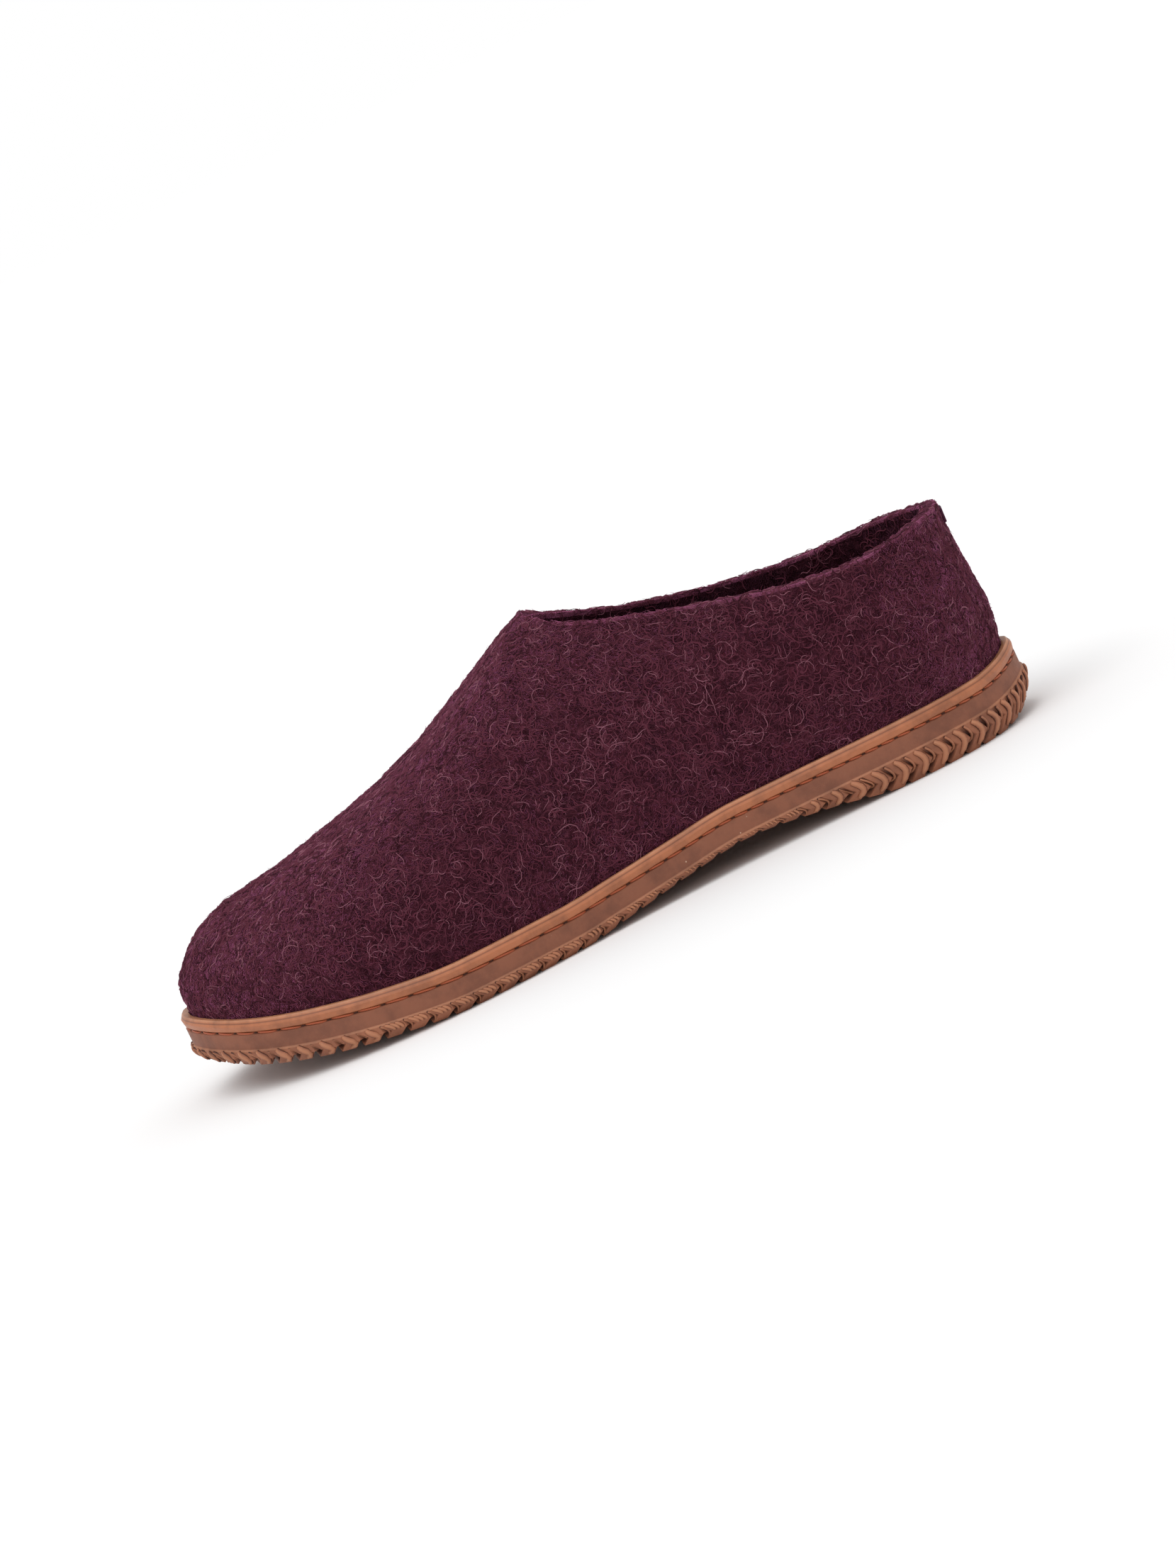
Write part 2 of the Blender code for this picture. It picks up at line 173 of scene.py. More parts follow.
# Rubber, from the rim down to the tread
RIM_COLOUR = (0.420, 0.140, 0.056)
# Painted highlight: along the rim's top, along the ledge and on the tread ribs' crests
HIGHLIGHT_COLOUR = (0.470, 0.200, 0.100)
WALL_COLOUR = (0.230, 0.0755, 0.0365)
LUG_COLOUR = (0.310, 0.108, 0.052)
# Painted shade: in the tread's grooves, under the lip, in the stitch groove and in the needle holes;
# also the darker tone of the random mottle
SHADE_AND_MOTTLE_COLOUR = (0.060, 0.014, 0.006)
SPECK_COLOUR = (0.560, 0.380, 0.270)
MOTTLE_NOISE = (0.12, 4.0, 0.6)
MOTTLE_SPREAD = (0.62, 0.30)
MOTTLE_DARKNESS = 0.4
MOTTLE_RELIEF = 1.5
GRAIN_NOISE = (1.4, 3.0, 0.6)
GRAIN_ROUGHNESS = 0.12
RUBBER_RELIEF = (0.25, 0.3 * MM)
SCUFF_NOISE = (0.8, 5.0, 0.75, 0.4)
SCUFF_SPREAD = (0.66, 0.80, 0.0, 0.45)
SPECK_SCALE = 0.16
SPECK_SPREAD = (0.045, 0.02)
SPECK_BAND = (2.6, 2.2)
WALL_ROUGHNESS = 0.58
RIM_ROUGHNESS = 0.42
RUBBER_GLOW = (1.0, 0.4, 0.2)
RUBBER_GLOW_WEIGHT = 0.08
RUBBER_GLOW_DEPTH = 2 * MM

# Where one colour of the rubber passes into the next, up to a painted highlight along the rim's top, and
# where a line of painted shade under the lip and a painted highlight along the ledge lie: heights above
# the ledge in mm
LUG_TO_WALL = (-0.4, 0.2)
WALL_TO_RIM = (SIDEWALL_TOP - 0.2, RIM_FOOT + 0.1)
RIM_TO_HIGHLIGHT = (RIM_TOP - 0.9, RIM_TOP - 0.1)
LIP_LINE = RIM_TOP - 1.0
LEDGE_LINE = 0.2

# Lines of painted shade and painted highlight along the rubber, by distance from each, and the painted
# highlight on the tread's crests and painted shade in its recesses
LIP_SHADE_SPREAD = (0.32, 0.05, 0.0, 0.5)
LEDGE_HIGHLIGHT_SPREAD = (0.5, 0.1, 0.0, 0.55)
STITCH_GROOVE_SHADE_SPREAD = (0.55, 0.1, 0.0, 0.75)
CREST_HIGHLIGHT_SPREAD = (0.0, -0.8, 0.0, 0.7)
RECESS_SHADE_SPREAD = (0.0, 0.75)

# Thread, needle holes and ribbon
THREAD_COLOUR = (0.420, 0.105, 0.036)
THREAD_DARK = (0.30, 0.045, 0.012)
THREAD_ROUGHNESS = 0.55
THREAD_TWIST = {"Scale": 1.1, "Distortion": 1.0}
THREAD_RELIEF = (0.5, 0.15 * MM)
# Painted shade for the needle holes
HOLE_SHADE_COLOUR = (0.045, 0.013, 0.007)
HOLE_ROUGHNESS = 0.9
HOLE_SHADE_SCALE = 1.5
RIBBON_COLOURS = ((0.050, 0.0100, 0.025), (0.076, 0.0165, 0.042))
RIBBON_ROUGHNESS = 0.75
RIBBON_GLOSS = 0.15
RIBBON_WEAVE = 2.4
RIBBON_RELIEF = (0.4, 0.1 * MM)

# Fibres: pieces of this many strands each, kept under the triangle limit of a piece
FIBRE_PIECES = 4
FIBRES_PER_PIECE = 6200
FIBRE_POINTS = 6
FIBRE_SIDES = 3
FIBRE_RADIUS = 0.19
FIBRE_RADIUS_RANGE = (0.55, 1.15)
FIBRE_LENGTH = 3.7
FIBRE_LENGTH_SPREAD = 0.42
FIBRE_CURL = 0.70
FIBRE_WAVE_RANGE = (0.2, 1.1)
FIBRE_WAVE_PHASES = 6.28
FIBRE_WAVE_TURNS = 5.0
FIBRE_CLEARANCE = 0.06 * MM
FIBRE_TAPER = (0.12, 0.88)
FIBRE_FULLNESS = 0.5
FIBRE_ROUNDNESS = 0.45
SHARPEST_TURN = 0.65
LYING_LIFT = (0.05, 0.35)
FUZZ_SHARE = 0.12
FUZZ_LIFT = 0.9
FUZZ_LIFT_RANGE = (0.3, 1.0)
FUZZ_BEND = 1.5
FUZZ_THINNESS = 0.4
PALE_FROM = 0.82
PALE_STRETCH = 1.3
PALE_THINNESS = 0.68
FIBRE_SHARES = (1.0, 0.25, 0.5, 0.2)
FIBRE_RIM_GAP = 0.3
INSIDE_SEEN = 48 * MM

# Back tab
TAB_LIFT = 0.1 * MM
TAB_THICKNESS = 1.0 * MM
TAB_ROUNDING = 0.3 * MM
TAB_EDGE_ANGLE = math.radians(40)

# Stitching: the pitch by the place along the shoe, the stitches and the holes between them, in mm
STITCH_PITCHES = ((95, 5.2), (165, 8.2))
STITCH_GAP = 0.8
STITCH_POINTS = 9
STITCH_BULGE = 0.55
STITCH_DIP = 0.95
STITCH_DIP_POWER = 4
STITCH_SLANT = 0.35
THREAD_RADIUS = 0.34
TUBE_SIDES = 8
HOLE_RADIUS = 0.48 * MM
HOLE_STRETCH = (0.35, 1.25, 0.8)
HOLE_PROUD = 0.25 * MM

# Tread: ribs in the grooves, and ridges or bumps on the lugs, by half width and half thickness in mm
GROOVE_RIB = (0.55, 0.6)
GROOVE_RIB_PROUD = 0.55
# Painted shade added to the ribs that lie in the grooves
GROOVE_RIB_SHADE = 0.22
LUG_RIDGE = (1.10, 0.80)
LUG_RIDGE_PROUD = -0.12
# Painted highlight on each rib's outer side and painted shade at its base, by how it faces
CREST_SHADES = (0.80, 1.55)
BUMP_RIDGE = (0.70, 0.55)
BUMP_REACH = (0.52, 0.96)
BUMP_PROUD = -0.05
BUMP_PLACES = (0.22, 0.5, 0.78)
TOE_SWAY = 0.7 * MM
FLOOR_CLEARANCE = 0.03 * MM
PLAIN_LUGS = (80, 212)
RIB_REACH = (0.14, 0.97)
RIB_TAPER = (0.55, 0.88, 1.0, 1.0, 1.0, 0.9, 0.7)
RIB_FULL_HEIGHT = 5 * MM
RIB_BAND = -1.0

# How the sole's points are told apart, in mm
STITCH_LINE_REACH = 0.08
HALF_WAY_REACH = 0.3
SIDE_DEPTH = 2.5
SIDE_GROOVE_DEPTH = -0.95
GROOVE_MIN_DEPTH = 0.5
GROOVE_TOP_SHARE = 0.8

# Moulded edges of the sole
MOULDED_EDGE = 0.4 * MM
MOULDED_SEGMENTS = 3
MOULDED_ANGLE = math.radians(26)


def level(table, column):
    """A column of a table as a function of along in mm, flat where the table is flat."""
    along = np.array([row[0] for row in table], float)
    value = np.array([row[column] for row in table], float)
    rise = np.diff(value) / np.diff(along)
    slope = np.zeros(len(value))
    for i in range(1, len(value) - 1):
        if rise[i - 1] * rise[i] > 0:
            slope[i] = 2 / (1 / rise[i - 1] + 1 / rise[i])
    slope[0], slope[-1] = rise[0], rise[-1]

    def at(where):
        where = np.clip(where, along[0], along[-1])
        i = np.clip(np.searchsorted(along, where) - 1, 0, len(rise) - 1)
        step = along[i + 1] - along[i]
        t = (where - along[i]) / step
        return (
            value[i] * (1 + 2 * t) * (1 - t) ** 2
            + value[i + 1] * t * t * (3 - 2 * t)
            + slope[i] * step * t * (1 - t) ** 2
            - slope[i + 1] * step * t * t * (1 - t)
        )

    return at


UNDERSIDE = level(SOLE_SIDE, 1)
TREAD = level(SOLE_SIDE, 2)


def above_ledge(points):
    """Height in mm above the ledge where the tread starts, for an array of points."""
    along = (HEEL_BACK_X - points[:, 0]) / MM
    return points[:, 2] / MM - UNDERSIDE(along) - TREAD(along)


def add(tree, kind, inputs=None, **settings):
    """A node with its settings; each input is a value or another node's output."""
    made = tree.nodes.new(kind)
    for name, value in settings.items():
        setattr(made, name, value)
    for name, value in (inputs or {}).items():
        socket = made.inputs[name]
        if isinstance(value, bpy.types.NodeSocket):
            tree.links.new(value, socket)
        else:
            socket.default_value = value
    return made


def attribute(tree, name):
    return add(tree, "ShaderNodeAttribute", attribute_name=name).outputs["Fac"]


def math_node(tree, operation, first, second=0.0):
    return add(tree, "ShaderNodeMath", {0: first, 1: second}, operation=operation).outputs[0]


def away_from(tree, value, middle):
    """How far a value lies from a middle one, up or down."""
    return math_node(tree, "ABSOLUTE", math_node(tree, "SUBTRACT", value, middle))


def mix_colour(tree, factor, first, second):
    """Two colours mixed; each of the three is a value or another node's output."""
    made = add(tree, "ShaderNodeMix", data_type="RGBA")
    for index, value in ((0, factor), (6, first), (7, second)):
        if isinstance(value, bpy.types.NodeSocket):
            tree.links.new(value, made.inputs[index])
        else:
            made.inputs[index].default_value = (*value, 1) if isinstance(value, tuple) else value
    return made.outputs[2]


def spread(tree, value, low, high, to_low=0.0, to_high=1.0):
    """A value moved from one range to another, with soft ends."""
    inputs = {"Value": value, "From Min": low, "From Max": high, "To Min": to_low, "To Max": to_high}
    return add(tree, "ShaderNodeMapRange", inputs, interpolation_type="SMOOTHSTEP").outputs[0]


def noise(tree, vector, scale, detail=2.0, roughness=0.5, distortion=0.0):
    inputs = {"Vector": vector, "Scale": scale, "Detail": detail}
    inputs |= {"Roughness": roughness, "Distortion": distortion}
    return add(tree, "ShaderNodeTexNoise", inputs).outputs["Fac"]


def new_material(name, roughness=0.5):
    """A material with nodes: returns it with its tree, its shader and object coordinates in mm."""
    material = bpy.data.materials.new(name)
    material.use_nodes = True
    tree = material.node_tree
    shader = tree.nodes["Principled BSDF"]
    shader.inputs["Roughness"].default_value = roughness
    place = add(tree, "ShaderNodeTexCoord").outputs["Object"]
    in_mm = add(tree, "ShaderNodeVectorMath", {0: place, "Scale": 1 / MM}, operation="SCALE").outputs[0]
    return material, tree, shader, in_mm


def link(tree, output, shader, socket):
    tree.links.new(output, shader.inputs[socket])


def give_relief(tree, shader, height, strength, depth):
    """Fine relief on a surface, from a height that changes over it."""
    relief = add(tree, "ShaderNodeBump", {"Height": height, "Strength": strength, "Distance": depth})
    link(tree, relief.outputs[0], shader, "Normal")


def make_fibre_mat():
    """Node group: matted wool. Gives thin curled strands, the clumps they lie in, and a height."""
    group = bpy.data.node_groups.new("matted wool", "ShaderNodeTree")
    group.interface.new_socket("Place", in_out="INPUT", socket_type="NodeSocketVector")
    for name in ("Strands", "Clumps", "Height"):
        group.interface.new_socket(name, in_out="OUTPUT", socket_type="NodeSocketFloat")
    place = group.nodes.new("NodeGroupInput").outputs["Place"]
    strands = 0.0
    for scale, shift, width, distortion in STRAND_LAYERS:
        offset = tuple(shift * share for share in STRAND_SHIFT)
        moved = add(group, "ShaderNodeVectorMath", {0: place, 1: offset}).outputs[0]
        away = away_from(group, noise(group, moved, scale, *STRAND_DETAIL, distortion), NOISE_MIDDLE)
        strands = math_node(group, "MAXIMUM", spread(group, away, width, 0.0), strands)
    clumps = spread(group, noise(group, place, *CLUMP_NOISE), *CLUMP_SPREAD)
    fuzz = math_node(group, "MULTIPLY", noise(group, place, *FUZZ_NOISE), FUZZ_RELIEF)
    height = math_node(group, "ADD", math_node(group, "MULTIPLY", strands, STRAND_RELIEF), fuzz)
    out = group.nodes.new("NodeGroupOutput")
    for name, value in (("Strands", strands), ("Clumps", clumps), ("Height", height)):
        group.links.new(value, out.inputs[name])
    return group


FIBRE_MAT = make_fibre_mat()


def give_wool_sheen(shader, weight):
    """Wool lightens where it is seen along its surface."""
    shader.inputs["Sheen Weight"].default_value = weight
    shader.inputs["Sheen Roughness"].default_value = WOOL_SHEEN_ROUGHNESS
    shader.inputs["Sheen Tint"].default_value = (*WOOL_SHEEN, 1)


def felt_material(name, dark, plum, strand, sheen):
    """Matted wool: dark between the clumps and in small pits, paler along some of its strands."""
    material, tree, shader, in_mm = new_material(name, FELT_ROUGHNESS)
    mat = add(tree, "ShaderNodeGroup", node_tree=FIBRE_MAT)
    tree.links.new(in_mm, mat.inputs["Place"])
    colour = mix_colour(tree, mat.outputs["Clumps"], dark, plum)
    pits = spread(tree, noise(tree, in_mm, *PIT_NOISE), *PIT_SPREAD)
    colour = mix_colour(tree, pits, colour, dark)
    patches = spread(tree, noise(tree, in_mm, *PATCH_NOISE), *PATCH_SPREAD)
    strands = math_node(tree, "MULTIPLY", mat.outputs["Strands"], patches)
    colour = mix_colour(tree, strands, colour, strand)
    link(tree, colour, shader, "Base Color")
    give_relief(tree, shader, mat.outputs["Height"], *FELT_RELIEF)
    give_wool_sheen(shader, sheen)
    shader.inputs["Specular IOR Level"].default_value = FELT_GLOSS
    return material


def fibre_material():
    """Loose wool, from the felt's own plum to nearly white, by each strand's own tone."""
    material, tree, shader, _ = new_material("loose wool fibre", FIBRE_ROUGHNESS)
    tone = attribute(tree, "tone")
    colour = mix_colour(tree, spread(tree, tone, 0.0, PLUM_TONE), FIBRE_DARK, FIBRE_PLUM)
    colour = mix_colour(tree, spread(tree, tone, PALE_FROM, 1.0), colour, FIBRE_PALE)
    link(tree, colour, shader, "Base Color")
    give_wool_sheen(shader, FULL_SHEEN)
    shader.inputs["Specular IOR Level"].default_value = FIBRE_GLOSS
    return material


def rubber_material():
    """Moulded natural rubber: the rim warmer and glossier than the wall, with painted shade in the
    tread's recesses, under the lip and in the stitch groove, and painted highlight along the edges and
    crests.
    """
    material, tree, shader, in_mm = new_material("honey rubber")
    band = attribute(tree, "band")
    shade_and_highlight = attribute(tree, "shade_and_highlight")
    mottle = noise(tree, in_mm, *MOTTLE_NOISE)
    grain = noise(tree, in_mm, *GRAIN_NOISE)
    colour = mix_colour(tree, spread(tree, band, *LUG_TO_WALL), LUG_COLOUR, WALL_COLOUR)
    colour = mix_colour(tree, spread(tree, band, *WALL_TO_RIM), colour, RIM_COLOUR)
    # Painted highlight along the rim's rounded top edge
    colour = mix_colour(tree, spread(tree, band, *RIM_TO_HIGHLIGHT), colour, HIGHLIGHT_COLOUR)
    # Painted shade: a thin dark line just under the rim's top
    lip_shade = spread(tree, away_from(tree, band, LIP_LINE), *LIP_SHADE_SPREAD)
    colour = mix_colour(tree, lip_shade, colour, SHADE_AND_MOTTLE_COLOUR)
    # Painted highlight along the ledge's edge
    ledge_highlight = spread(tree, away_from(tree, band, LEDGE_LINE), *LEDGE_HIGHLIGHT_SPREAD)
    colour = mix_colour(tree, ledge_highlight, colour, HIGHLIGHT_COLOUR)
    darker = mix_colour(tree, MOTTLE_DARKNESS, colour, SHADE_AND_MOTTLE_COLOUR)
    colour = mix_colour(tree, spread(tree, mottle, *MOTTLE_SPREAD), colour, darker)
    # Painted highlight on the tread ribs' crests
    colour = mix_colour(tree, spread(tree, shade_and_highlight, *CREST_HIGHLIGHT_SPREAD), colour, HIGHLIGHT_COLOUR)
    # Painted shade in the tread's grooves and at the ribs' bases
    colour = mix_colour(tree, spread(tree, shade_and_highlight, *RECESS_SHADE_SPREAD), colour, SHADE_AND_MOTTLE_COLOUR)
    # Painted shade in the stitch groove under the rim
    stitch_groove_shade = spread(tree, away_from(tree, band, STITCH_LINE), *STITCH_GROOVE_SHADE_SPREAD)
    colour = mix_colour(tree, stitch_groove_shade, colour, SHADE_AND_MOTTLE_COLOUR)
    scuff = spread(tree, noise(tree, in_mm, *SCUFF_NOISE), *SCUFF_SPREAD)
    colour = mix_colour(tree, scuff, colour, SPECK_COLOUR)
    cells = add(tree, "ShaderNodeTexVoronoi", {"Vector": in_mm, "Scale": SPECK_SCALE})
    on_wall = spread(tree, away_from(tree, band, SIDEWALL_TOP / 2), *SPECK_BAND)
    specks = math_node(tree, "MULTIPLY", spread(tree, cells.outputs["Distance"], *SPECK_SPREAD), on_wall)
    colour = mix_colour(tree, specks, colour, SPECK_COLOUR)
    link(tree, colour, shader, "Base Color")
    rough = spread(tree, band, SIDEWALL_TOP, RIM_FOOT, WALL_ROUGHNESS, RIM_ROUGHNESS)
    uneven = math_node(tree, "MULTIPLY", grain, GRAIN_ROUGHNESS)
    link(tree, math_node(tree, "ADD", rough, uneven), shader, "Roughness")
    height = math_node(tree, "ADD", grain, math_node(tree, "MULTIPLY", mottle, MOTTLE_RELIEF))
    give_relief(tree, shader, height, *RUBBER_RELIEF)
    shader.inputs["Subsurface Weight"].default_value = RUBBER_GLOW_WEIGHT
    shader.inputs["Subsurface Radius"].default_value = RUBBER_GLOW
    shader.inputs["Subsurface Scale"].default_value = RUBBER_GLOW_DEPTH
    return material


def thread_material():
    material, tree, shader, in_mm = new_material("waxed thread", THREAD_ROUGHNESS)
    twist = add(tree, "ShaderNodeTexWave", {"Vector": in_mm, **THREAD_TWIST}).outputs["Fac"]
    link(tree, mix_colour(tree, twist, THREAD_DARK, THREAD_COLOUR), shader, "Base Color")
    give_relief(tree, shader, twist, *THREAD_RELIEF)
    return material


def hole_material():
    material, tree, shader, in_mm = new_material("needle hole", HOLE_ROUGHNESS)
    shade = noise(tree, in_mm, HOLE_SHADE_SCALE)
    link(tree, mix_colour(tree, shade, HOLE_SHADE_COLOUR, SHADE_AND_MOTTLE_COLOUR), shader, "Base Color")
    return material


def ribbon_material():
    material, tree, shader, in_mm = new_material("tab ribbon", RIBBON_ROUGHNESS)
    weave = add(tree, "ShaderNodeTexChecker", {"Vector": in_mm, "Scale": RIBBON_WEAVE}).outputs["Fac"]
    link(tree, mix_colour(tree, weave, *RIBBON_COLOURS), shader, "Base Color")
    give_relief(tree, shader, weave, *RIBBON_RELIEF)
    shader.inputs["Specular IOR Level"].default_value = RIBBON_GLOSS
    return material


def merged_copy(node):
    """A CAD node's faces, merged and joined back into quads."""
    bm = bmesh.new()
    bm.from_mesh(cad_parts[node].data)
    bmesh.ops.remove_doubles(bm, verts=bm.verts, dist=MERGE_DISTANCE)
    bmesh.ops.join_triangles(
        bm,
        faces=bm.faces,
        angle_face_threshold=QUAD_FACE_ANGLE,
        angle_shape_threshold=QUAD_SHAPE_ANGLE,
    )
    for face in bm.faces:
        face.material_index = 0
    return bm


def finished(bm, name, materials, replaces=None):
    """A modelled shape made into a smooth mesh and a piece."""
    mesh = bpy.data.meshes.new(name)
    bm.to_mesh(mesh)
    bm.free()
    mesh.shade_smooth()
    return piece(mesh, name, materials, replaces)


def piece(mesh, name, materials, replaces=None):
    """A finished mesh placed in the scene, riding on the shoe."""
    for material in materials:
        mesh.materials.append(material)
    obj = bpy.data.objects.new(name, mesh)
    bpy.context.scene.collection.objects.link(obj)
    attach(obj, "root")
    if replaces:
        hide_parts(replaces)
    return obj


def round_edges(bm, edges, size):
    """Edges rounded in two steps; returns what the bevel made."""
    return bmesh.ops.bevel(
        bm,
        geom=edges,
        offset=size,
        segments=2,
        profile=0.5,
        affect="EDGES",
        material=-1,
        clamp_overlap=True,
    )


def sharp_edges(bm, angle):
    return [edge for edge in bm.edges if len(edge.link_faces) == 2 and edge.calc_face_angle() > angle]


def on_axis(x, side, height):
    """The point of the middle line inside the shoe that is nearest to a place along it."""
    return Vector((min(max(x, AXIS_ENDS[0]), AXIS_ENDS[1]), side, height))


def faces_in(face):
    """True where a face of the upper looks into the shoe."""
    middle = face.calc_center_median()
    return face.normal.dot(on_axis(middle.x, UPPER_AXIS_SIDE, UPPER_AXIS_HEIGHT) - middle) > 0


def make_upper():
    """The felt shell, its collar's cut levelled and rounded, its surface uneven above the rim."""
    bm = merged_copy("upper")
    bm.normal_update()
    collar = [
        edge
        for edge in sharp_edges(bm, COLLAR_ANGLE)
        if min(vert.co.z for vert in edge.verts) > COLLAR_ABOVE
    ]
    around = set(collar)
    for face in bm.faces:
        face.material_index = INSIDE if faces_in(face) else OUTSIDE
    cut_faces = [face for face in bm.faces if sum(edge in around for edge in face.edges) >= 2]
    across = {edge for face in cut_faces for edge in face.edges if edge not in around}
    for edge in across:
        lower, upper_end = sorted(edge.verts, key=lambda vert: vert.co.z)
        lower.co.z += min(upper_end.co.z - lower.co.z, CUT_LEVELLING)
    for face in cut_faces:
        face.material_index = CUT
    for face in round_edges(bm, collar, COLLAR_ROUNDING)["faces"]:
        face.material_index = CORNER
    felt = (FELT_DARK, FELT_PLUM, FELT_STRAND)
    # The inside is a darker copy of the felt: painted shade
    shaded = [tuple(c * INSIDE_SHADE for c in colour) for colour in felt]
    outer = felt_material("plum felt", *felt, FULL_SHEEN)
    inner = felt_material("plum felt inside", *shaded, INSIDE_SHEEN)
    # The collar's rounded edge painted paler: painted highlight
    corner = felt_material("plum felt corner highlight", FELT_PLUM, FELT_EDGE_HIGHLIGHT, FELT_STRAND, FULL_SHEEN)
    cut = felt_material("plum felt cut edge", *felt, CUT_SHEEN)
    upper = finished(bm, "felt_upper", (outer, inner, corner, cut), "upper")
    smooth = upper.modifiers.new("smooth", "SUBSURF")
    smooth.levels = UPPER_SMOOTHING
    smooth.render_levels = UPPER_SMOOTHING
    free = upper.vertex_groups.new(name="above rim")
    points = np.array([vert.co for vert in upper.data.vertices])
    for index, height in enumerate(above_ledge(points)):
        above = (height - RIM_TOP - RIM_CLEARANCE) / RIM_BLEND
        free.add([index], float(np.clip(above, 0, 1)), "REPLACE")
    for name, size, strength in FELT_LUMPS:
        texture = bpy.data.textures.new(name, "CLOUDS")
        texture.noise_scale = size
        texture.noise_depth = LUMP_DETAIL
        lumps = upper.modifiers.new(name, "DISPLACE")
        lumps.texture = texture
        lumps.texture_coords = "LOCAL"
        lumps.strength = strength
        lumps.mid_level = 0.5
        lumps.vertex_group = "above rim"
    return upper


def surface_of(obj):
    """Triangles of a finished piece, its modifiers included: points, corners and material of each."""
    evaluated = obj.evaluated_get(bpy.context.evaluated_depsgraph_get())
    mesh = evaluated.to_mesh()
    mesh.calc_loop_triangles()
    points = np.empty(len(mesh.vertices) * 3)
    mesh.vertices.foreach_get("co", points)
    corners = np.empty(len(mesh.loop_triangles) * 3, np.int64)
    mesh.loop_triangles.foreach_get("vertices", corners)
    slots = np.empty(len(mesh.loop_triangles), np.int64)
    mesh.loop_triangles.foreach_get("material_index", slots)
    evaluated.to_mesh_clear()
    return points.reshape(-1, 3), corners.reshape(-1, 3), slots


def unit(vectors):
    return vectors / np.maximum(np.linalg.norm(vectors, axis=-1, keepdims=True), 1e-12)


def lay_fibres(surface, tree, tone):
    """Curled strands on the felt: points along each, the normals there, and which ones stand off."""
    count = len(tone)
    points, corners, slots = surface
    a, b, c = (points[corners[:, i]] for i in range(3))
    cross = np.cross(b - a, c - a)
    area = np.linalg.norm(cross, axis=1)
    middle = (a + b + c) / 3
    shown = above_ledge(middle) > RIM_TOP + FIBRE_RIM_GAP
    hidden = (slots == INSIDE) & (middle[:, 2] < INSIDE_SEEN)
    share = np.array(FIBRE_SHARES)[slots] * np.where(hidden, 0.0, 1.0)
    weight = area * shown * share
    chosen = RANDOM.choice(len(corners), count, p=weight / weight.sum())
    u, v = RANDOM.random(count), RANDOM.random(count)
    flip = u + v > 1
    u[flip], v[flip] = 1 - u[flip], 1 - v[flip]
    start = a[chosen] + (b - a)[chosen] * u[:, None] + (c - a)[chosen] * v[:, None]
    normal = unit(cross[chosen])
    side = unit(np.cross(normal, unit(RANDOM.normal(size=(count, 3)))))
    length = FIBRE_LENGTH * MM * np.exp(RANDOM.normal(0, FIBRE_LENGTH_SPREAD, count))
    length *= np.where(tone > PALE_FROM, PALE_STRETCH, 1.0)
    curl = RANDOM.normal(0, FIBRE_CURL, count) / MM
    wave = RANDOM.uniform(*FIBRE_WAVE_RANGE, count)
    phase = RANDOM.uniform(0, FIBRE_WAVE_PHASES, count)
    fuzzy = RANDOM.random(count) < FUZZ_SHARE
    standing = RANDOM.uniform(*FUZZ_LIFT_RANGE, count) * FUZZ_LIFT
    lying = RANDOM.uniform(*LYING_LIFT, count)
    lift = np.where(fuzzy, standing, lying) * MM
    line = np.empty((count, FIBRE_POINTS, 3))
    normals = np.empty_like(line)
    here = start.copy()
    for k in range(FIBRE_POINTS):
        t = k / (FIBRE_POINTS - 1)
        for i in range(count):
            spot, facing, _, _ = tree.find_nearest(here[i])
            here[i] = spot
            normal[i] = facing
        side = unit(side - normal * (side * normal).sum(1, keepdims=True))
        rise = np.where(fuzzy, lift * t**FUZZ_BEND, lift * math.sin(math.pi * t))
        line[:, k] = here + normal * (rise + FIBRE_CLEARANCE)[:, None]
        normals[:, k] = normal
        step = length / (FIBRE_POINTS - 1)
        turn = curl * step + wave * np.sin(phase + FIBRE_WAVE_TURNS * t)
        turn = np.clip(turn, -SHARPEST_TURN, SHARPEST_TURN)
        across = np.cross(normal, side)
        side = side * np.cos(turn)[:, None] + across * np.sin(turn)[:, None]
        here = here + side * step[:, None]
    return line, normals, fuzzy


